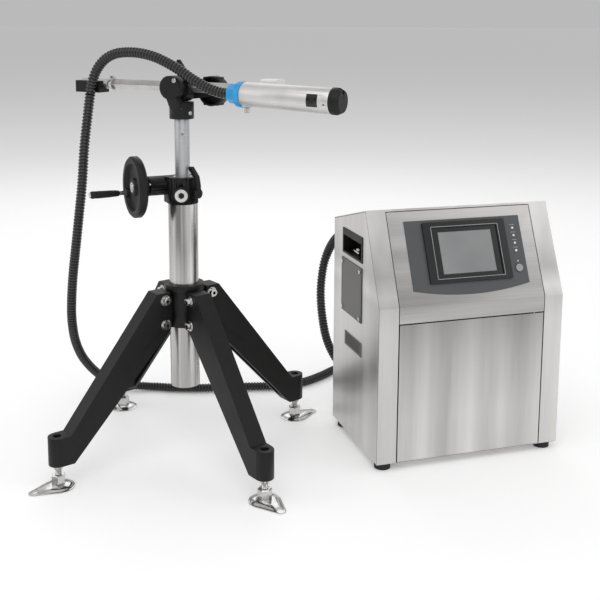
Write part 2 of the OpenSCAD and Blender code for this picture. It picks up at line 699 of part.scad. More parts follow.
module hose_clip() color([0.08, 0.08, 0.08]) at_arm() difference() {
    translate([clip_x[0], -16, clip_z[0]]) cube([clip_x[1] - clip_x[0], 27, 20]);
    bar_profile(0.02) translate([0, 0, -bar_back - 0.1]) cube([bar_side + 0.04, bar_side + 0.04, 60]);
    translate([clip_hose_x, clip_y, 0]) rotate([0, 14, 0]) translate([0, 0, -30])
        cylinder(r = hose_d / 2 + 0.4, h = 60);
}

module bar_collar() color("lightgray") at_arm() difference() {
    union() {
        translate([-147, 0, 0]) rotate([0, 90, 0]) cylinder(r = 11, h = 8);
        translate([-146, -3, 8]) cube([6, 6, 6]);
    }
    bar_profile(0.02) translate([0, 0, -160]) cube([bar_side + 0.04, bar_side + 0.04, 40]);
}

module head_mount() color("whitesmoke") difference() {
    at_arm() translate([162, -18, -11]) rotate([90, 0, 90]) rounded_plate(30, 29, 28, 3.5);
    at_arm() bar_profile(0.02) translate([0, 0, 150]) cube([bar_side + 0.04, bar_side + 0.04, 60]);
    at_head() translate([0, 0, -5]) cylinder(r = head_d / 2 + 0.02, h = 180);
}

module head_tube() color("silver") at_head() difference() {
    cylinder(r = head_d / 2, h = head_end - head_start);
    translate([0, 0, 4]) cylinder(r = head_d / 2 - 1.5, h = head_end - head_start);
    translate([0, 0, -1]) cylinder(r = 6, h = 8);
    translate([0, 0, 128]) rotate([90, 0, 0]) translate([-10, -9, 10]) cube([19.5, 18, 14]);
    translate([5, 0, 148]) rotate([90, 0, 0]) cylinder(r = 1.3, h = 30);
    translate([0, 0, 5.5]) rotate([0, 90, 0]) cylinder(r = 2 + running, h = 30);
}

module nose_cap() color([0.08, 0.08, 0.08]) at_head() translate([0, 0, head_end - head_start]) difference() {
    union() {
        translate([0, 0, -8]) cylinder(r = head_d / 2 - 1.5 - running, h = 9);
        translate([0, 0, 0.3]) cylinder(r = head_d / 2 + 0.8, h = 8.7);
        translate([0, 0, 9]) cylinder(r1 = head_d / 2 + 0.8, r2 = head_d / 2 - 3, h = 8);
    }
    translate([0, 0, -9]) cylinder(r = head_d / 2 - 4, h = 22);
    translate([-30, -2.5, 6]) cube([26, 5, 20]);
}

module head_gland() color("dodgerblue") at_head() {
    translate([0, 0, -9]) cylinder(r = head_d / 2 + 0.8, h = 9);
    translate([0, 0, -11]) cylinder(r1 = 15, r2 = head_d / 2 - 1, h = 2);
    translate([0, 0, -26]) cylinder(r = 15.5, h = 15, $fn = 6);
}

module head_window() color([0.06, 0.06, 0.06]) at_head() translate([0, 0, 128]) difference() {
    intersection() {
        rotate([90, 0, 0]) translate([-9.8, -8.8, 10]) cube([19.1, 17.6, 14]);
        translate([0, 0, -12]) ring(head_d / 2 + 0.6, head_d / 2 - 1.4, 24);
    }
    rotate([90, 0, 0]) translate([-4, -4, head_d / 2 - 0.1]) cube([8, 8, 4]);
}

module head_thumb_screw() color("gainsboro") at_head() translate([0, 0, 5.5]) rotate([0, 90, 0]) {
    translate([0, 0, 15]) cylinder(r = 2, h = 6);
    translate([0, 0, head_d / 2 + 0.5]) cylinder(r = 4.6, h = 8);
}

module nozzle_unit() color("lightgray") at_head() {
    translate([-13, -9, 40]) cube([26, 18, 4]);
    translate([-3, -9, 44]) cube([6, 18, 50]);
    translate([-8, -7, 92]) cube([16, 14, 22]);
    translate([0, 0, 113]) cylinder(r = 3, h = 12);
    for (y = [-6, 5]) translate([-6, y, 128]) cube([12, 1, 16]);
    translate([-6, -6, 114]) cube([2, 12, 16]);
}

module umbilical_hose() color([0.07, 0.07, 0.07]) swept_hose(umbilical_route, hose_d / 2, 10);

module arm_hose() color([0.07, 0.07, 0.07]) at_arm() swept_hose(arm_route, hose_d / 2, 10);

cabinet_shell();
console_panel();
front_door();
control_overlay();
screen_bezel();
touch_screen();
status_lamps();
power_button();
side_handles();
side_plate();
cabinet_fasteners();
side_vent();
rubber_feet();
ink_tank();
solvent_tank();
ink_pump();
control_board();
power_supply();
fan_frame();
fan_rotor();
power_inlet();
mains_switch();
cabinet_gland();
mast_tube();
hub();
leg_1();
leg_2();
leg_3();
leg_4();
stand_fasteners();
levelling_foot_1();
levelling_foot_2();
levelling_foot_3();
levelling_foot_4();
lift_head();
rod_bush();
lift_rod();
lift_rack();
pinion_shaft();
handwheel();
crank_pin();
crank_handle();
lift_lock_lever();
lift_screws();
clamp_base();
clamp_jaw();
jaw_lever();
jaw_knob();
arm_bar();
hose_clip();
bar_collar();
head_mount();
head_tube();
nose_cap();
head_gland();
head_window();
head_thumb_screw();
nozzle_unit();
umbilical_hose();
arm_hose();
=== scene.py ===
import math

import bmesh
import bpy
from mathutils import Matrix, Vector


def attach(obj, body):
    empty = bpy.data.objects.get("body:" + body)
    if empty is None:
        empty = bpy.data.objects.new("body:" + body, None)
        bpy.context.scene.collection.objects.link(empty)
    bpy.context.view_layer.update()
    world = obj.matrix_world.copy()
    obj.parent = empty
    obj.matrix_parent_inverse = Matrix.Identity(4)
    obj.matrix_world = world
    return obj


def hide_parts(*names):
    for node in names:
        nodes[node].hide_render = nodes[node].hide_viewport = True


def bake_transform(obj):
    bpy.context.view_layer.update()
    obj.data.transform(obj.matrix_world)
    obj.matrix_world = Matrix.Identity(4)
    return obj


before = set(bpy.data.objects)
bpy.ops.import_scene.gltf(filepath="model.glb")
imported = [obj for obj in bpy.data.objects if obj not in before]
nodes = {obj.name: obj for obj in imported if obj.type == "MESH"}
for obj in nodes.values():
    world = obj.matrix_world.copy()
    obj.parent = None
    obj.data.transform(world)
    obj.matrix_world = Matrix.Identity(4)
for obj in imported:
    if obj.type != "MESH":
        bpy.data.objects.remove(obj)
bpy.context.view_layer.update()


def mm(*values):
    return Vector([v / 1000 for v in values])


def turn(degrees, axis):
    return Matrix.Rotation(math.radians(degrees), 4, axis)


def move(*values):
    return Matrix.Translation(mm(*values))


# where the parts of the machine stand, in millimetres
layout = {
    "mast": (-178, 0), "legTurn": 20, "footRadius": 239.5,
    "cabinet": (109, -186), "foldHeight": 282.5, "slope": math.degrees(math.atan2(70, 152.5)),
    "shaftHeight": 471, "shaftTurn": 9, "shaftBack": 23.5, "crankTurn": 112, "crankRadius": 40,
    "armHeight": 639, "armTurn": 45, "headStart": 140, "headEnd": 295, "headTilt": 1.5,
}
atMast = move(*layout["mast"], 0)
atCabinet = move(*layout["cabinet"], 0)
atConsole = atCabinet @ move(0, 0, layout["foldHeight"]) @ turn(90 - layout["slope"], "X")
atArm = atMast @ move(0, 0, layout["armHeight"]) @ turn(-layout["armTurn"], "Z")
headMiddle = (layout["headStart"] + layout["headEnd"]) / 2
atHead = (atArm @ move(headMiddle, -30, -8) @ turn(layout["headTilt"], "Y")
          @ move(layout["headStart"] - headMiddle, 0, 0) @ turn(90, "Y"))
atShaft = (atMast @ move(0, 0, layout["shaftHeight"]) @ turn(180 + layout["shaftTurn"], "Z")
           @ move(0, -layout["shaftBack"], 0) @ turn(90, "Y") @ turn(90, "Z"))
atCrank = atShaft @ turn(layout["crankTurn"], "Z") @ move(0, layout["crankRadius"], 0)


def atLeg(index):
    return atMast @ turn(180 + layout["legTurn"] + 90 * index, "Z")


# camera
view = {"place": (-0.4771, -1.6166, 0.7444), "yaw": -0.304, "lookDown": 0.1591, "roll": 0.0052,
        "lens": 58.625, "shift": -0.2}
cameraData = bpy.data.cameras.new("studioCamera")
cameraData.lens = view["lens"]
cameraData.sensor_width = 36
cameraData.shift_y = view["shift"]
camera = bpy.data.objects.new("studioCamera", cameraData)
camera.location = view["place"]
camera.rotation_euler = (Matrix.Rotation(view["yaw"], 3, "Z")
                         @ Matrix.Rotation(math.pi / 2 - view["lookDown"], 3, "X")
                         @ Matrix.Rotation(view["roll"], 3, "Z")).to_euler()
bpy.context.scene.collection.objects.link(camera)
bpy.context.scene.camera = camera
print("camera set")


# materials
def linear(code):
    parts = [int(code[i:i + 2], 16) / 255 for i in (1, 3, 5)]
    return tuple(c / 12.92 if c <= 0.04045 else ((c + 0.055) / 1.055) ** 2.4 for c in parts) + (1.0,)


def addNode(tree, kind, settings=None, values=None, links=None):
    node = tree.nodes.new(kind)
    for key, value in (settings or {}).items():
        setattr(node, key, value)
    for key, value in (values or {}).items():
        node.inputs[key].default_value = value
    for key, source in (links or {}).items():
        tree.links.new(source, node.inputs[key])
    return node


def makeSurface(name, light, dark, metallic=0.0, rough=(0.4, 0.5), grain=(1, 1, 1), grainDepth=0.05,
                patch=(40, 40, 40), patchShare=0.5, ior=None, paintedShade=()):
    # grain and patch are sizes in mm along X, Y and Z; grainDepth is the bump in mm
    # the list of (height in mm, share of the colour) paints shade and reflection into the sheet by height, so
    # it is lighter in some places and darker in others
    material = bpy.data.materials.new(name)
    material.use_nodes = True
    tree = material.node_tree
    shader = tree.nodes["Principled BSDF"]
    shader.inputs["Metallic"].default_value = metallic
    if ior:
        shader.inputs["IOR"].default_value = ior
    place = addNode(tree, "ShaderNodeTexCoord")
    fine = addNode(tree, "ShaderNodeMapping", values={"Scale": [1000 / g for g in grain]},
                   links={"Vector": place.outputs["Object"]})
    wide = addNode(tree, "ShaderNodeMapping", values={"Scale": [1000 / g for g in patch]},
                   links={"Vector": place.outputs["Object"]})
    fineNoise = addNode(tree, "ShaderNodeTexNoise", values={"Scale": 1.0, "Detail": 3.0, "Roughness": 0.6},
                        links={"Vector": fine.outputs[0]})
    wideNoise = addNode(tree, "ShaderNodeTexNoise", values={"Scale": 1.0, "Detail": 2.0},
                        links={"Vector": wide.outputs[0]})
    both = addNode(tree, "ShaderNodeMix", values={0: patchShare},
                   links={2: fineNoise.outputs[0], 3: wideNoise.outputs[0]})
    spread = addNode(tree, "ShaderNodeMapRange", values={1: 0.3, 2: 0.7}, links={0: both.outputs[0]})
    colour = addNode(tree, "ShaderNodeMix", {"data_type": "RGBA"}, {6: linear(dark), 7: linear(light)},
                     {0: spread.outputs[0]})
    # painted shade and painted reflection: the colour is multiplied by a ramp over height
    if paintedShade:
        low, high = paintedShade[0][0], paintedShade[-1][0]
        apart = addNode(tree, "ShaderNodeSeparateXYZ", links={0: place.outputs["Object"]})
        rise = addNode(tree, "ShaderNodeMapRange", values={1: low / 1000, 2: high / 1000},
                       links={0: apart.outputs[2]})
        ramp = addNode(tree, "ShaderNodeValToRGB", links={0: rise.outputs[0]})
        for index, (height, share) in enumerate(paintedShade):
            if 0 < index < len(paintedShade) - 1:
                stop = ramp.color_ramp.elements.new((height - low) / (high - low))
            else:
                stop = ramp.color_ramp.elements[-1 if index else 0]
            stop.color = (share, share, share, 1)
        colour = addNode(tree, "ShaderNodeMix", {"data_type": "RGBA", "blend_type": "MULTIPLY"}, {0: 1.0},
                         {6: colour.outputs[2], 7: ramp.outputs[0]})
    tree.links.new(colour.outputs[2], shader.inputs["Base Color"])
    roughness = addNode(tree, "ShaderNodeMapRange", values={1: 0.3, 2: 0.7, 3: rough[0], 4: rough[1]},
                        links={0: both.outputs[0]})
    tree.links.new(roughness.outputs[0], shader.inputs["Roughness"])
    if grainDepth:
        bump = addNode(tree, "ShaderNodeBump", values={"Strength": 1.0, "Distance": grainDepth / 1000},
                       links={"Height": fineNoise.outputs[0]})
        tree.links.new(bump.outputs[0], shader.inputs["Normal"])
    return material


# Brushed 304 stainless sheet: a satin grey with fine lines and soft bands; real lines are 0.1 mm, drawn
# wider; painted shade and painted reflection darken it in bands by height
sheetSteel = makeSurface("brushedStainlessSheet", "#dedcda", "#b4b2b0", 1.0, (0.28, 0.42), (0.6, 0.6, 110),
                         0.006, (52, 52, 900), 0.7,
                         paintedShade=[(15, 1.0), (240, 0.98), (284, 0.86), (300, 1.0), (330, 0.74), (385, 0.95),
                                (430, 1.0)])
# the door: the same sheet, with painted reflection and painted shade that make it lighter towards the floor
# and darker towards the top
doorSteel = makeSurface("brushedStainlessDoor", "#e2e0de", "#a9a7a5", 1.0, (0.24, 0.40), (0.6, 0.6, 110),
                        0.006, (50, 50, 900), 0.75, paintedShade=[(15, 1.0), (90, 0.95), (190, 0.74), (252, 0.56)])
# the console: the same sheet brushed from side to side, with painted shade and painted reflection in bands by
# height
slopeSteel = makeSurface("brushedStainlessConsole", "#d6d4d2", "#a3a19f", 1.0, (0.24, 0.40), (110, 0.7, 0.7),
                         0.006, (420, 46, 46), 0.68,
                         paintedShade=[(255, 0.9), (284, 0.8), (300, 0.66), (350, 0.85), (433, 1.0)])
# Polished stainless tube: bright, with long upright dark streaks in its colour
tubeSteel = makeSurface("polishedStainlessTube", "#e0dedc", "#8f8d8b", 1.0, (0.2, 0.3), (0.8, 0.8, 120),
                        0.004, (8, 8, 900), 0.8)
# Cold-drawn steel bar: an even satin, slightly duller than the tube
barSteel = makeSurface("drawnSteelBar", "#d6d5d3", "#bcbbb9", 1.0, (0.28, 0.38), (2.5, 2.5, 2.5), 0.002,
                       (30, 30, 30), 0.7)
# Zinc-plated and chromed hardware: mirror-like with faint waviness
chrome = makeSurface("chromedSteel", "#dcdbda", "#b9b8b7", 1.0, (0.10, 0.2), (3, 3, 3), 0.01,
                     (12, 12, 12), 0.6)
# Turned aluminium: pale grey, dull rings from the lathe 0.8 mm apart
turnedAluminium = makeSurface("turnedAluminium", "#c9cacb", "#a7a8aa", 0.9, (0.38, 0.5), (14, 14, 0.8), 0.01,
                              (20, 20, 90), 0.5)
# Brushed stainless tube of the head: an even satin without a clear direction
headSteel = makeSurface("brushedHeadTube", "#dddcdb", "#c8c7c6", 1.0, (0.42, 0.5), (1.2, 1.2, 1.2), 0.006,
                        (30, 30, 60), 0.5)
# Powder-coated castings: satin black with orange peel and rubbed grey patches
castBlack = makeSurface("powderCoatedCasting", "#161616", "#080808", 0.0, (0.36, 0.55), (1.2, 1.2, 1.2), 0.05,
                        (45, 45, 45), 0.5, 1.36)
# Glass-filled nylon mouldings: matt black, fine spark texture
nylonBlack = makeSurface("mouldedNylon", "#121213", "#080809", 0.0, (0.42, 0.56), (0.7, 0.7, 0.7), 0.03,
                         (25, 25, 25), 0.4, 1.38)
# Ribbed polyamide conduit: semi-gloss black that catches a line of light on each rib
hoseBlack = makeSurface("ribbedConduit", "#0e0e0f", "#050505", 0.0, (0.16, 0.26), (1.5, 1.5, 1.5), 0.02,
                        (40, 40, 40), 0.5, 1.45)
# painted highlight: the crests of the conduit are a dark grey, lighter than the grooves
hoseCrestHighlight = makeSurface("ribbedConduitCrestHighlight", "#3c3c3d", "#242425", 0.0, (0.2, 0.32), (1.5, 1.5, 1.5), 0.02,
                        (40, 40, 40), 0.5, 1.5)
# Moulded rubber: dull black that hardly shines
rubberBlack = makeSurface("mouldedRubber", "#1e1e1e", "#121212", 0.0, (0.62, 0.78), (0.8, 0.8, 0.8), 0.04,
                          (20, 20, 20), 0.4, 1.52)
# Keypad film: printed polyester, dark grey with a fine haze
keypadFilm = makeSurface("keypadFilm", "#4b4d50", "#3f4144", 0.0, (0.4, 0.5), (0.6, 0.6, 0.6), 0.01,
                         (60, 60, 60), 0.5, 1.57)
# Moulded acrylic frame: smooth black with clear reflections
bezelBlack = makeSurface("glossBezel", "#17181a", "#0f1012", 0.0, (0.16, 0.24), (0.8, 0.8, 0.8), 0.004,
                         (50, 50, 50), 0.6, 1.5)
# Display that is switched off: grey glass behind a matt film
displayGrey = makeSurface("unlitDisplay", "#8f9291", "#7c7f7f", 0.0, (0.2, 0.28), (0.5, 0.5, 0.5), 0.0,
                          (110, 110, 70), 0.92, 1.5)
# Clear polycarbonate lenses: white and smooth
lampWhite = makeSurface("lampLens", "#f4f4f2", "#dededc", 0.0, (0.18, 0.25), (1, 1, 1), 0.0)
# Brushed metal button: mid grey with a fine satin
buttonGrey = makeSurface("brushedButton", "#9fa1a1", "#8b8d8d", 0.6, (0.35, 0.45), (0.6, 0.6, 0.6), 0.01)
# Satin cover plate of steel: dark grey with faint upright lines
plateGrey = makeSurface("satinCoverPlate", "#5d5d5c", "#4a4a49", 0.7, (0.3, 0.42), (0.7, 0.7, 60), 0.01,
                        (40, 40, 40), 0.6)
# Painted louvre: flat warm grey
ventGrey = makeSurface("louvrePaint", "#6d6d6c", "#5a5a59", 0.2, (0.45, 0.6), (0.8, 0.8, 0.8), 0.02)
# Moulded ABS: soft white with a fine spark texture
absWhite = makeSurface("mouldedAbs", "#e6e6e2", "#d6d6d2", 0.0, (0.35, 0.48), (0.8, 0.8, 0.8), 0.02, ior=1.54)
# Inner parts: blow-moulded bottle, coated board and polished rocker
inkBlue = makeSurface("inkBottle", "#20305e", "#141f42", 0.0, (0.3, 0.4), (1, 1, 1), 0.02, ior=1.5)
boardGreen = makeSurface("circuitBoard", "#1f6b3c", "#154a2a", 0.0, (0.3, 0.45), (2.5, 2.5, 2.5), 0.03,
                         ior=1.5)
rockerRed = makeSurface("rockerRed", "#a3221a", "#8c1c15", 0.0, (0.25, 0.35), (1, 1, 1), 0.01, ior=1.5)
# Blue gland nut: a saturated glossy blue with bright edges
glandBlue = makeSurface("blueGlandNut", "#33a3da", "#1f8ccb", 0.15, (0.3, 0.4), (1.2, 1.2, 1.2), 0.01,
                        (15, 15, 15), 0.5)
# Screen-printed ink: pale grey and matt
lineGrey = makeSurface("printedLine", "#b8babc", "#a6a8aa", 0.0, (0.45, 0.5), (1, 1, 1), 0.0)
# Narrow joints and sockets, where no light gets in
deepShadow = makeSurface("deepShadow", "#0c0c0c", "#080808", 0.0, (0.7, 0.8), (1, 1, 1), 0.0)

finishes = {
    sheetSteel: ["cabinet_shell"], doorSteel: ["front_door"], slopeSteel: ["console_panel"],
    tubeSteel: ["mast_tube"], barSteel: ["arm_bar", "bar_collar"],
    turnedAluminium: ["lift_rod", "rod_bush", "power_supply", "nozzle_unit"],
    chrome: ["cabinet_fasteners", "stand_fasteners", "levelling_foot_1", "levelling_foot_2",
             "levelling_foot_3", "levelling_foot_4", "lift_rack", "crank_pin",
             "lift_screws", "head_thumb_screw"],
    headSteel: ["head_tube"],
    castBlack: ["hub", "leg_1", "leg_2", "leg_3", "leg_4", "lift_head", "clamp_base", "clamp_jaw",
                "pinion_shaft"],
    nylonBlack: ["side_handles", "fan_frame", "fan_rotor", "power_inlet", "cabinet_gland", "handwheel",
                 "crank_handle", "lift_lock_lever", "jaw_lever", "jaw_knob", "hose_clip", "nose_cap",
                 "ink_pump"],
    hoseBlack: ["umbilical_hose", "arm_hose"], rubberBlack: ["rubber_feet"], keypadFilm: ["control_overlay"],
    bezelBlack: ["screen_bezel", "head_window"], displayGrey: ["touch_screen"], lampWhite: ["status_lamps"],
    buttonGrey: ["power_button"], plateGrey: ["side_plate"], ventGrey: ["side_vent"],
    absWhite: ["solvent_tank", "head_mount"], inkBlue: ["ink_tank"], boardGreen: ["control_board"],
    rockerRed: ["mains_switch"], glandBlue: ["head_gland"],
}
# width in mm of the rounded edge that catches the light
edgeRounds = {
    "hub": 1.2, "leg_1": 1.6, "leg_2": 1.6, "leg_3": 1.6, "leg_4": 1.6, "lift_head": 1.0, "clamp_base": 1.0,
    "clamp_jaw": 1.0, "jaw_lever": 0.8, "lift_lock_lever": 1.0, "hose_clip": 0.8, "handwheel": 1.0,
    "cabinet_shell": 0.5, "console_panel": 0.5, "front_door": 0.6, "head_gland": 0.6, "nose_cap": 0.6,
    "rubber_feet": 1.0, "side_handles": 0.6, "screen_bezel": 0.8, "head_mount": 0.8, "arm_bar": 0.5,
    "bar_collar": 0.5, "side_plate": 0.3, "jaw_knob": 0.8, "power_button": 0.6, "head_tube": 0.4,
    "mast_tube": 0.4, "lift_rod": 0.4, "cabinet_gland": 0.6, "control_overlay": 0.25, "ink_tank": 2.0,
    "solvent_tank": 2.0, "power_inlet": 0.4, "stand_fasteners": 0.25, "lift_screws": 0.25,
}
for material, names in finishes.items():
    for name in names:
        nodes[name].data.materials.clear()
        nodes[name].data.materials.append(material)
for name, width in edgeRounds.items():
    weld = nodes[name].modifiers.new("weld", "WELD")
    weld.merge_threshold = 0.00001
    bevel = nodes[name].modifiers.new("edges", "BEVEL")
    bevel.width = width / 1000
    bevel.segments = 2
    bevel.limit_method = "ANGLE"
    bevel.angle_limit = math.radians(32)
    bevel.use_clamp_overlap = True
    bevel.harden_normals = True
print("materials set")


# mesh building
def addLathe(mesh, profile, place, steps=32):
    # profile is a list of (radius, height) in mm; a radius of 0 closes the end
    rings = []
    for radius, height in profile:
        if radius == 0:
            rings.append([mesh.verts.new(place @ mm(0, 0, height))])
        else:
            rings.append([mesh.verts.new(place @ mm(radius * math.cos(2 * math.pi * i / steps),
                                                    radius * math.sin(2 * math.pi * i / steps), height))
                          for i in range(steps)])
    for low, high in zip(rings, rings[1:]):
        for i in range(steps):
            j = (i + 1) % steps
            if len(low) == 1:
                mesh.faces.new((low[0], high[j], high[i]))
            elif len(high) == 1:
                mesh.faces.new((low[i], low[j], high[0]))
            else:
                mesh.faces.new((low[i], low[j], high[j], high[i]))


def addBlock(mesh, low, high, place, cut=0.0):
    # box between two corners in mm, with its edges cut back
    made = bmesh.ops.create_cube(mesh, size=1)["verts"]
    size = [h - l for l, h in zip(low, high)]
    centre = [(h + l) / 2 for l, h in zip(low, high)]
    for vert in made:
        vert.co = place @ mm(*[c + v * s for c, v, s in zip(centre, vert.co, size)])
    if cut:
        edges = list({e for v in made for e in v.link_edges})
        bmesh.ops.bevel(mesh, geom=edges, offset=cut / 1000, segments=2, profile=0.5, affect="EDGES")


def addLoft(mesh, rings, place, closeStart=True, closeEnd=True):
    made = [[mesh.verts.new(place @ mm(*p)) for p in ring] for ring in rings]
    count = len(made[0])
    for low, high in zip(made, made[1:]):
        for i in range(count):
            j = (i + 1) % count
            mesh.faces.new((low[i], low[j], high[j], high[i]))
    if closeStart:
        mesh.faces.new(made[0][::-1])
    if closeEnd:
        mesh.faces.new(made[-1])


def finishPiece(mesh, name, body, material, sharp=35, stands=()):
    bmesh.ops.recalc_face_normals(mesh, faces=mesh.faces)
    data = bpy.data.meshes.new(name)
    mesh.to_mesh(data)
    mesh.free()
    data.shade_smooth()
    data.set_sharp_from_angle(angle=math.radians(sharp))
    data.materials.append(material)
    piece = bpy.data.objects.new(name, data)
    bpy.context.scene.collection.objects.link(piece)
    if body:
        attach(piece, body)
    if stands:
        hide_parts(*stands)
    return piece


# the corrugated hose, first from the cabinet to the clip and then from the clip to the head
hose = {"diameter": 17.7, "pitch": 5.9, "grooveDepth": 1.9, "sides": 20}
umbilicalRoute = [
    (148, 64, 350), (148, 80, 350), (146, 112, 343), (141, 137, 324), (134, 152, 297), (127, 155, 268),
    (121, 150, 223), (124, 147, 171), (136, 147, 118), (163, 147, 70), (205, 144, 30), (243, 144, 12),
    (279, 155, 9), (305, 182, 9), (315, 219, 9), (305, 256, 9), (278, 283, 9), (240, 293, 9), (200, 281, 9),
    (156, 251, 9), (110, 228, 9), (62, 222, 9), (10, 233, 9), (-44, 246, 9), (-98, 256, 9), (-150, 273, 9),
    (-196, 294, 9), (-248, 302, 17), (-292, 289, 42), (-327, 261, 88), (-346, 232, 136), (-354, 205, 186),
    (-355, 186, 232), (-352, 170, 286), (-346, 152, 348), (-340, 140, 405), (-334, 130, 462),
    (-329, 121, 528), (-322, 115, 585), (-317.4, 108.4, 621.8),
]
armRoute = [
    (-175, -22, -16), (-170, -22, 3), (-159.5, -22, 24), (-143, -22.5, 41), (-122, -23, 51.5),
    (-98, -24, 55.5), (-66, -25, 55), (-32, -26, 48.5), (4, -28, 35), (22, -28.5, 26), (40, -29, 16),
    (57, -29.5, 8), (74, -30, 1), (96, -30, -4.8), (114, -30, -5.3),
]


def smoothLine(points, step):
    # a curve through the points, cut into equal steps of about that many mm
    points = [Vector(p) for p in points]
    ends = [points[0] * 2 - points[1]] + points + [points[-1] * 2 - points[-2]]
    line = []
    for a, b, c, d in zip(ends, ends[1:], ends[2:], ends[3:]):
        for i in range(24):
            t = i / 24
            line.append(0.5 * ((2 * b) + (c - a) * t + (2 * a - 5 * b + 4 * c - d) * t * t
                               + (3 * b - a - 3 * c + d) * t ** 3))
    line.append(points[-1])
    reach = [0.0]
    for p, q in zip(line, line[1:]):
        reach.append(reach[-1] + (q - p).length)
    count = max(2, round(reach[-1] / step))
    even, k = [], 0
    for i in range(count + 1):
        goal = reach[-1] * i / count
        while k < len(line) - 2 and reach[k + 1] < goal:
            k += 1
        share = (goal - reach[k]) / (reach[k + 1] - reach[k])
        even.append(line[k].lerp(line[k + 1], share))
    return even, reach[-1]


def buildHose(name, route, place, node):
    centres, length = smoothLine(route, hose["pitch"] / 6)
    centres = [place @ mm(p.x, p.y, max(p.z, hose["diameter"] / 2) if place == Matrix() else p.z)
               for p in centres]
    crest = hose["diameter"] / 2
    valley = crest - hose["grooveDepth"]
    sizes = [crest - hose["grooveDepth"] * share for share in (0.1, 0, 0.1, 0.75, 1, 0.75)]
    mesh = bmesh.new()
    side = Vector((0, 0.1, 1))
    rings = []
    for i, centre in enumerate(centres):
        along = (centres[min(i + 1, len(centres) - 1)] - centres[max(i - 1, 0)]).normalized()
        side = (side - along * side.dot(along)).normalized()
        other = along.cross(side)
        radius = sizes[i % 6] / 1000 if 0 < i < len(centres) - 1 else valley / 1000
        rings.append([mesh.verts.new(centre + radius * (math.cos(a) * side + math.sin(a) * other))
                      for a in [2 * math.pi * k / hose["sides"] for k in range(hose["sides"])]])
    for low, high in zip(rings, rings[1:]):
        for k in range(hose["sides"]):
            n = (k + 1) % hose["sides"]
            mesh.faces.new((low[k], low[n], high[n], high[k]))
    mesh.faces.new(rings[0][::-1])
    mesh.faces.new(rings[-1])
    piece = finishPiece(mesh, name, None, hoseBlack, sharp=80, stands=[node])
    # painted highlight: the crests are a shade lighter than the grooves
    piece.data.materials.append(hoseCrestHighlight)
    for face in piece.data.polygons:
        if face.index // hose["sides"] % 6 < 2:
            face.material_index = 1
    return piece, centres, length / 1000


umbilical, umbilicalLine, umbilicalLength = buildHose("umbilicalHose", umbilicalRoute, Matrix(),
                                                      "umbilical_hose")
armHose, armLine, armLength = buildHose("armHose", armRoute, atArm, "arm_hose")
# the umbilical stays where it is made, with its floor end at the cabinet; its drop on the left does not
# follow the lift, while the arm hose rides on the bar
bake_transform(umbilical)
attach(armHose, "bar")
print("hoses made, %.2f m and %.2f m" % (umbilicalLength, armLength))


# levelling feet: pressed plate with a tip hole, hexagon and threaded stud
foot = {"padRadius": 26, "tipReach": 42, "tipRadius": 9, "domeRadius": 13, "padHeight": 6.5, "holeRadius": 5,
        "hexRadius": 11.8, "hexTop": 22, "studRadius": 5.5, "studTop": 72, "threadPitch": 2.0}


def padOutline(count, inset):
    # the teardrop outline, moved inwards by inset mm
    big, small, reach = foot["padRadius"] - inset, foot["tipRadius"] - inset, foot["tipReach"]
    touch = math.acos((foot["padRadius"] - foot["tipRadius"]) / reach)
    points = []
    for i in range(count):
        a = 2 * math.pi * i / count - math.pi
        if abs(a) >= touch:
            points.append((big * math.cos(a), big * math.sin(a)))
        else:
            # the straight flank and the tip share the rest of the turn
            share = abs(a) / touch
            if share > 0.5:
                t = (share - 0.5) * 2
                x = (reach + small * math.cos(touch)) * (1 - t) + big * math.cos(touch) * t
                y = small * math.sin(touch) * (1 - t) + big * math.sin(touch) * t
            else:
                b = share * 2 * touch
                x, y = reach + small * math.cos(b), small * math.sin(b)
            points.append((x, math.copysign(y, a) if a else y))
    return points


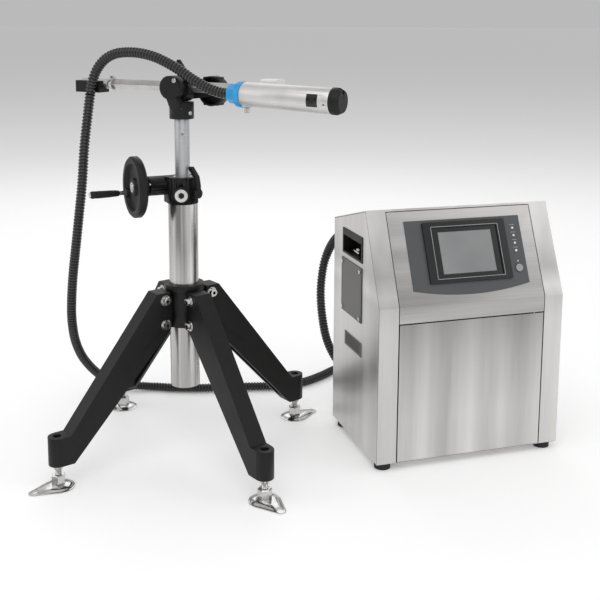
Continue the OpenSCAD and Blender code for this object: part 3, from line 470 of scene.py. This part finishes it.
def buildFoot(index):
    place = atLeg(index) @ move(layout["footRadius"], 0, 0)
    mesh = bmesh.new()
    count = 72
    rim = padOutline(count, 0)
    dome = [(foot["domeRadius"] * math.cos(2 * math.pi * i / count - math.pi),
             foot["domeRadius"] * math.sin(2 * math.pi * i / count - math.pi)) for i in range(count)]
    steps = [(0, 0), (0, 1.3), (0.03, 1.6), (0.12, 1.7), (0.2, 2.2), (0.34, 3.6), (0.52, 5.0), (0.75, 5.9),
             (0.92, 6.2), (1.0, foot["padHeight"])]
    rings = [[(r[0] + (d[0] - r[0]) * t, r[1] + (d[1] - r[1]) * t, z) for r, d in zip(rim, dome)]
             for t, z in steps]
    addLoft(mesh, rings, place)
    plate = finishPiece(mesh, "footPlate.%d" % (index + 1), None, chrome, sharp=50)
    # the anchoring hole is cut through the tip
    cutter = bmesh.new()
    hole = foot["holeRadius"]
    addLathe(cutter, [(0, -2), (hole, -2), (hole, 12), (0, 12)], place @ move(foot["tipReach"] - 2, 0, 0), 28)
    cutter.normal_update()
    bmesh.ops.recalc_face_normals(cutter, faces=cutter.faces)
    cutData = bpy.data.meshes.new("tipCutter")
    cutter.to_mesh(cutData)
    cutter.free()
    cutPiece = bpy.data.objects.new("tipCutter", cutData)
    bpy.context.scene.collection.objects.link(cutPiece)
    cut = plate.modifiers.new("tipHole", "BOOLEAN")
    cut.object = cutPiece
    cut.operation = "DIFFERENCE"
    cut.solver = "EXACT"
    bpy.context.view_layer.update()
    whole = bpy.data.meshes.new_from_object(plate.evaluated_get(bpy.context.evaluated_depsgraph_get()))
    plate.modifiers.clear()
    plate.data = whole
    bpy.data.objects.remove(cutPiece)
    whole.shade_smooth()
    whole.set_sharp_from_angle(angle=math.radians(50))
    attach(plate, "foot_%d" % (index + 1))
    mesh = bmesh.new()
    h, low, high = foot["hexRadius"], foot["padHeight"], foot["hexTop"]
    addLathe(mesh, [(0, low), (h - 1.4, low), (h, low + 1.1), (h, high - 1.1), (h - 1.4, high), (0, high)],
             place, 6)
    finishPiece(mesh, "footHexagon.%d" % (index + 1), "foot_%d" % (index + 1), chrome)
    mesh = bmesh.new()
    r, pitch = foot["studRadius"], foot["threadPitch"]
    profile = [(0, foot["hexTop"] - 1), (r - 0.7, foot["hexTop"] - 1)]
    z = foot["hexTop"]
    while z < foot["studTop"] - pitch:
        profile += [(r - 0.7, z), (r, z + pitch * 0.35), (r, z + pitch * 0.6)]
        z += pitch
    profile += [(r - 0.9, foot["studTop"]), (0, foot["studTop"])]
    addLathe(mesh, profile, place, 28)
    finishPiece(mesh, "footStud.%d" % (index + 1), "foot_%d" % (index + 1), chrome)
    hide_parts("levelling_foot_%d" % (index + 1))


for index in range(4):
    buildFoot(index)
print("levelling feet made")

# crank handle: a turned grip with rounded ends and a groove
crank = {"start": 93.4, "end": 143, "radius": 6.4, "bore": 3.05, "groove": 0.5}
mesh = bmesh.new()
r, a, b, g = crank["radius"], crank["start"], crank["end"], crank["groove"]
addLathe(mesh, [(crank["bore"], a), (r - 2.2, a), (r - 1.4, a + 1.0), (r - 0.9, a + 6), (r - 0.4, a + 16),
                (r - 0.1, a + 30), (r, b - 14), (r, b - 9.4), (r - g, b - 9), (r - g, b - 8), (r, b - 7.6),
                (r, b - 3), (r - 0.5, b - 1.2), (r - 1.6, b), (crank["bore"], b), (crank["bore"], a)],
         atCrank, 40)
finishPiece(mesh, "crankGrip", "crank", nylonBlack, stands=["crank_handle"])

# handwheel: hub washer and screw, on the hub
wheel = {"face": 81, "washer": 9, "headRadius": 5.5, "headHeight": 2.0}
mesh = bmesh.new()
f = wheel["face"]
addLathe(mesh, [(0, f), (wheel["washer"], f), (wheel["washer"], f + 0.7), (wheel["washer"] - 0.4, f + 1.0),
                (wheel["headRadius"], f + 1.0), (wheel["headRadius"], f + 1.6),
                (wheel["headRadius"] - 0.5, f + wheel["headHeight"]), (0, f + wheel["headHeight"])],
         atShaft, 36)
finishPiece(mesh, "wheelHubScrew", "wheel", chrome)

# clamp: grub screws and a plug, small enough to be left out of the solids
# each screw has its head's radius and height, and its socket's radius
clampScrews = {"onDisc": (4.0, 1.4, 2.2), "onSocket": (3.4, 1.2, 1.8), "besideIt": (2.4, 0.9, 1.2),
               "discFace": 34.9, "socketFace": 20.1, "socketTurn": -58}


def buildScrewHead(mesh, place, radius, height, socket):
    # a round head with a six-sided socket sunk in it; local Z points out of the surface
    outer, count = [], 24
    around = [(math.cos(2 * math.pi * i / count), math.sin(2 * math.pi * i / count)) for i in range(count)]
    for radiusHere, z in [(radius, 0), (radius, height * 0.7), (radius * 0.92, height)]:
        outer.append([(radiusHere * x, radiusHere * y, z) for x, y in around])
    for z in (height, height * 0.35):
        ring = []
        for i in range(count):
            angle = 2 * math.pi * i / count
            flat = socket * math.cos(math.pi / 6) / math.cos((angle % (math.pi / 3)) - math.pi / 6)
            ring.append((flat * math.cos(angle), flat * math.sin(angle), z))
        outer.append(ring)
    addLoft(mesh, outer, place)


mesh = bmesh.new()
discFace = atArm @ turn(90, "X")
buildScrewHead(mesh, discFace @ move(9.6, 12, clampScrews["discFace"]), *clampScrews["onDisc"])
socketSide = atMast @ turn(clampScrews["socketTurn"], "Z")
buildScrewHead(mesh, socketSide @ move(clampScrews["socketFace"], 0, 596) @ turn(90, "Y"),
               *clampScrews["onSocket"])
buildScrewHead(mesh, socketSide @ turn(-50, "Z") @ move(clampScrews["socketFace"], 0, 604) @ turn(90, "Y"),
               *clampScrews["besideIt"])
finishPiece(mesh, "clampScrews", "clamp", chrome)
mesh = bmesh.new()
addLathe(mesh, [(0, 0), (3.2, 0), (3.4, 0.5), (2.4, 0.9), (0, 0.3)],
         discFace @ move(-9, -8, clampScrews["discFace"]), 24)
finishPiece(mesh, "clampPlug", "clamp", castBlack)

# stand: the sockets of the leg screws and of the plug lie in shadow
sockets = {"legReach": 46, "legSide": 17, "legHeights": (240, 282), "legRadius": 3.0, "legDepth": 3.2,
           "plugTurn": -105, "plugHeight": 460, "plugRadius": 5.4, "plugDepth": 32.4}
mesh = bmesh.new()
r, d = sockets["legRadius"], sockets["legDepth"]
for index in range(4):
    for height in sockets["legHeights"]:
        for side in (-1, 1):
            place = (atLeg(index) @ move(sockets["legReach"], side * sockets["legSide"], height)
                     @ turn(-90 * side, "X"))
            addLathe(mesh, [(0, d), (r, d), (r, d + 0.1), (0, d + 0.1)], place, 6)
r, d = sockets["plugRadius"], sockets["plugDepth"]
addLathe(mesh, [(0, d), (r, d), (r, d + 0.1), (0, d + 0.1)], atMast @ turn(sockets["plugTurn"], "Z")
         @ move(0, 0, sockets["plugHeight"]) @ turn(90, "Y"), 6)
finishPiece(mesh, "socketShades", "base", deepShadow)

# console: printed frame line, lamp marks and the button's ring
console = {"frameLow": (110, 41.5), "frameHigh": (236.5, 132), "line": 0.7, "bezelTop": 5.2,
           "glassLow": (112.2, 44.2), "glassHigh": (233.8, 129.8), "glassTop": 2.4,
           "maskLow": (123, 50), "maskHigh": (222.5, 122.5), "maskTop": 2.9,
           "lampColumn": 266, "lampRows": (122.7, 109.4, 96, 82.6), "buttonRow": 52}
mesh = bmesh.new()
(x0, y0), (x1, y1), w, t = console["frameLow"], console["frameHigh"], console["line"], console["bezelTop"]
for low, high in [((x0, y0), (x1, y0 + w)), ((x0, y1 - w), (x1, y1)), ((x0, y0), (x0 + w, y1)),
                  ((x1 - w, y0), (x1, y1))]:
    addBlock(mesh, (*low, t - 0.05), (*high, t + 0.12), atConsole)
c = console["lampColumn"]
for row in console["lampRows"]:
    addBlock(mesh, (c - 4.2, row + 5.3, 1.15), (c - 1.2, row + 6.1, 1.3), atConsole)
    addBlock(mesh, (c - 0.2, row + 5.3, 1.15), (c + 4.0, row + 6.1, 1.3), atConsole)
finishPiece(mesh, "printedMarks", "base", lineGrey)
# black mask that covers the rim of the display glass
mesh = bmesh.new()
(x0, y0), (x1, y1) = console["glassLow"], console["glassHigh"]
(u0, v0), (u1, v1) = console["maskLow"], console["maskHigh"]
for low, high in [((x0, y0), (u0, y1)), ((u1, y0), (x1, y1)), ((u0, y0), (u1, v0)), ((u0, v1), (u1, y1))]:
    addBlock(mesh, (*low, console["glassTop"] - 0.05), (*high, console["maskTop"]), atConsole)
finishPiece(mesh, "screenMask", "base", bezelBlack)
mesh = bmesh.new()
for row in console["lampRows"]:
    addLathe(mesh, [(2.0, 1.9), (1.9, 2.2), (1.3, 2.6), (0.6, 2.8), (0, 2.85)],
             atConsole @ move(c, row, 0), 20)
addLathe(mesh, [(0, 1.1), (1.2, 1.1), (1.1, 1.5), (0, 1.6)], atConsole @ move(c, 64, 0), 18)
finishPiece(mesh, "lampDomes", "base", lampWhite)
mesh = bmesh.new()
addLathe(mesh, [(7.05, 1.15), (8.2, 1.15), (8.2, 1.5), (7.6, 1.75), (7.05, 1.5), (7.05, 1.15)],
         atConsole @ move(c, console["buttonRow"], 0), 36)
finishPiece(mesh, "buttonRing", "base", keypadFilm)

# cabinet: light latch piece inside the left grip, and the seams of the folded sheet
grip = {"low": (7, 118, 347), "high": (21, 150, 352)}
mesh = bmesh.new()
addBlock(mesh, grip["low"], grip["high"], atCabinet, 1.0)
addLathe(mesh, [(0, 0), (5, 0), (5, 2), (4.2, 3.2), (0, 3.6)], atCabinet @ move(14, 134, 352), 24)
finishPiece(mesh, "gripLatch", "base", chrome)

# the joint between each side and its post shows as a dark line along the front edge
seam = {"line": [(0.9, 14), (0.9, 282.1), (70, 433), (223, 394.2)], "width": 0.9, "proud": 0.06,
        "cabinetWidth": 342}
mesh = bmesh.new()
for x, way in ((0, -1), (seam["cabinetWidth"], 1)):
    ribbon = []
    for i, (y, z) in enumerate(seam["line"]):
        before, after = seam["line"][max(i - 1, 0)], seam["line"][min(i + 1, len(seam["line"]) - 1)]
        along = (Vector(after) - Vector(before)).normalized()
        inward = Vector((along.y, -along.x)) * seam["width"]
        near, far = x - way * 0.2, x + way * seam["proud"]
        ribbon.append([(near, y, z), (far, y, z), (far, y + inward.x, z + inward.y),
                       (near, y + inward.x, z + inward.y)])
    addLoft(mesh, ribbon, atCabinet)
finishPiece(mesh, "sideSeams", "base", deepShadow)

# print head: dark glass of the small window, and the disc in the nose
head = {"windowPlace": 128, "windowLow": (-4.2, -4.4, 19.9), "windowHigh": (4.2, 4.4, 20.25),
        "discRadius": 11, "discPlace": 171.2, "discThickness": 0.4}
mesh = bmesh.new()
addBlock(mesh, head["windowLow"], head["windowHigh"],
         atHead @ move(0, 0, head["windowPlace"]) @ turn(90, "X"), 0.1)
finishPiece(mesh, "windowGlass", "bar", bezelBlack)
mesh = bmesh.new()
r, low, high = head["discRadius"], head["discPlace"], head["discPlace"] + head["discThickness"]
addLathe(mesh, [(0, low), (r, low), (r, high), (0, high)], atHead, 40)
finishPiece(mesh, "noseDisc", "nose", nylonBlack)

# thumb screw: straight knurl with a ridge at every other point round it
thumb = {"crest": 4.6, "valley": 4.15, "points": 48,
         "rings": [(20.5, 0.85), (21.1, 1.0), (27.9, 1.0), (28.5, 0.85)]}
mesh = bmesh.new()
knurl = []
for z, scale in thumb["rings"]:
    ring = []
    for i in range(thumb["points"]):
        reachHere = (thumb["crest"] if i % 2 else thumb["valley"]) * scale
        angle = 2 * math.pi * i / thumb["points"]
        ring.append((reachHere * math.cos(angle), reachHere * math.sin(angle), z))
    knurl.append(ring)
thumbPlace = atHead @ move(0, 0, 5.5) @ turn(90, "Y")
addLoft(mesh, knurl, thumbPlace)
addLathe(mesh, [(0, 15), (2, 15), (2, 20.6), (0, 20.6)], thumbPlace, 20)
finishPiece(mesh, "thumbScrew", "thumb", chrome, stands=["head_thumb_screw"])
print("fittings made")

# floor, light and background
# the floor turns from white to grey with the inverse of the distance from its centre: painted light near the
# machine fading to painted shade far away, and it also glows a little
studio = {"floorSize": 400, "centre": (-0.48, -1.62), "near": "#f6f6f6", "far": "#c5c5c5", "greyAt": 0.03,
          "whiteAt": 0.28, "glow": 0.2, "backdrop": 0.49}
floorMesh = bmesh.new()
bmesh.ops.create_grid(floorMesh, x_segments=2, y_segments=2, size=studio["floorSize"] / 2)
floorData = bpy.data.meshes.new("studioFloor")
floorMesh.to_mesh(floorData)
floorMesh.free()
floorPiece = bpy.data.objects.new("studioFloor", floorData)
bpy.context.scene.collection.objects.link(floorPiece)
floorPiece.location = (*studio["centre"], -0.0002)
floorPaint = bpy.data.materials.new("studioFloorPaint")
floorPaint.use_nodes = True
tree = floorPaint.node_tree
place = addNode(tree, "ShaderNodeTexCoord")
reach = addNode(tree, "ShaderNodeVectorMath", {"operation": "LENGTH"}, links={0: place.outputs["Object"]})
inverse = addNode(tree, "ShaderNodeMath", {"operation": "DIVIDE"}, {0: 1.0}, {1: reach.outputs["Value"]})
fade = addNode(tree, "ShaderNodeMapRange", {"interpolation_type": "SMOOTHSTEP"},
               {1: studio["greyAt"], 2: studio["whiteAt"]}, {0: inverse.outputs[0]})
shade = addNode(tree, "ShaderNodeMix", {"data_type": "RGBA"},
                {6: linear(studio["far"]), 7: linear(studio["near"])}, {0: fade.outputs[0]})
paint = tree.nodes["Principled BSDF"]
tree.links.new(shade.outputs[2], paint.inputs["Base Color"])
tree.links.new(shade.outputs[2], paint.inputs["Emission Color"])
paint.inputs["Emission Strength"].default_value = studio["glow"]
paint.inputs["Roughness"].default_value = 0.9
paint.inputs["Specular IOR Level"].default_value = 0.1
floorData.materials.append(floorPaint)

world = bpy.data.worlds.new("studioWorld")
bpy.context.scene.world = world
world.use_nodes = True
tree = world.node_tree
place = addNode(tree, "ShaderNodeTexCoord")
split = addNode(tree, "ShaderNodeSeparateXYZ", links={0: place.outputs["Generated"]})
height = addNode(tree, "ShaderNodeMapRange", values={1: -0.1, 2: 0.9, 3: 0.95, 4: 0.62},
                 links={0: split.outputs[2]})
azimuth = addNode(tree, "ShaderNodeMath", {"operation": "ARCTAN2"},
                  links={0: split.outputs[1], 1: split.outputs[0]})
wave = addNode(tree, "ShaderNodeMath", {"operation": "MULTIPLY"}, {1: 3.0}, {0: azimuth.outputs[0]})
bands = addNode(tree, "ShaderNodeMath", {"operation": "SINE"}, links={0: wave.outputs[0]})
# tall dark screens between the light walls give polished tubes their upright bands
screens = addNode(tree, "ShaderNodeMapRange", {"interpolation_type": "SMOOTHSTEP"},
                  {1: -0.2, 2: -0.75, 3: 1.0, 4: 0.3}, {0: bands.outputs[0]})
low = addNode(tree, "ShaderNodeMapRange", {"interpolation_type": "SMOOTHSTEP"},
              {1: 0.15, 2: 0.5, 3: 1.0, 4: 0.0}, {0: split.outputs[2]})
share = addNode(tree, "ShaderNodeMix", values={2: 1.0}, links={0: low.outputs[0], 3: screens.outputs[0]})
glow = addNode(tree, "ShaderNodeMath", {"operation": "MULTIPLY"},
               links={0: height.outputs[0], 1: share.outputs[0]})
ray = addNode(tree, "ShaderNodeLightPath")
seen = addNode(tree, "ShaderNodeMix", values={3: studio["backdrop"]},
               links={0: ray.outputs["Is Camera Ray"], 2: glow.outputs[0]})
tree.links.new(seen.outputs[0], tree.nodes["Background"].inputs["Strength"])
tree.nodes["Background"].inputs["Color"].default_value = (1, 1, 1, 1)

# each light has its place and aim in metres, its size in metres and its power in watts
lights = {
    "keyTop": ((-0.6, -1.4, 2.6), (0, 0, 0.3), 2.2, 18),
    "fillRight": ((2.4, -1.6, 1.5), (0.1, 0, 0.3), 1.6, 8),
    "rimLeft": ((-2.6, 0.2, 1.6), (-0.1, 0, 0.35), 1.6, 6),
    "backTop": ((0.4, 2.4, 2.2), (0, 0, 0.3), 2.0, 10),
}
for name, (spot, aim, size, power) in lights.items():
    data = bpy.data.lights.new(name, "AREA")
    data.size = size
    data.energy = power
    lamp = bpy.data.objects.new(name, data)
    lamp.location = spot
    lamp.rotation_euler = (Vector(aim) - Vector(spot)).to_track_quat("-Z", "Y").to_euler()
    bpy.context.scene.collection.objects.link(lamp)
bpy.context.scene.view_settings.view_transform = "Standard"
bpy.context.view_layer.update()
print("studio set")
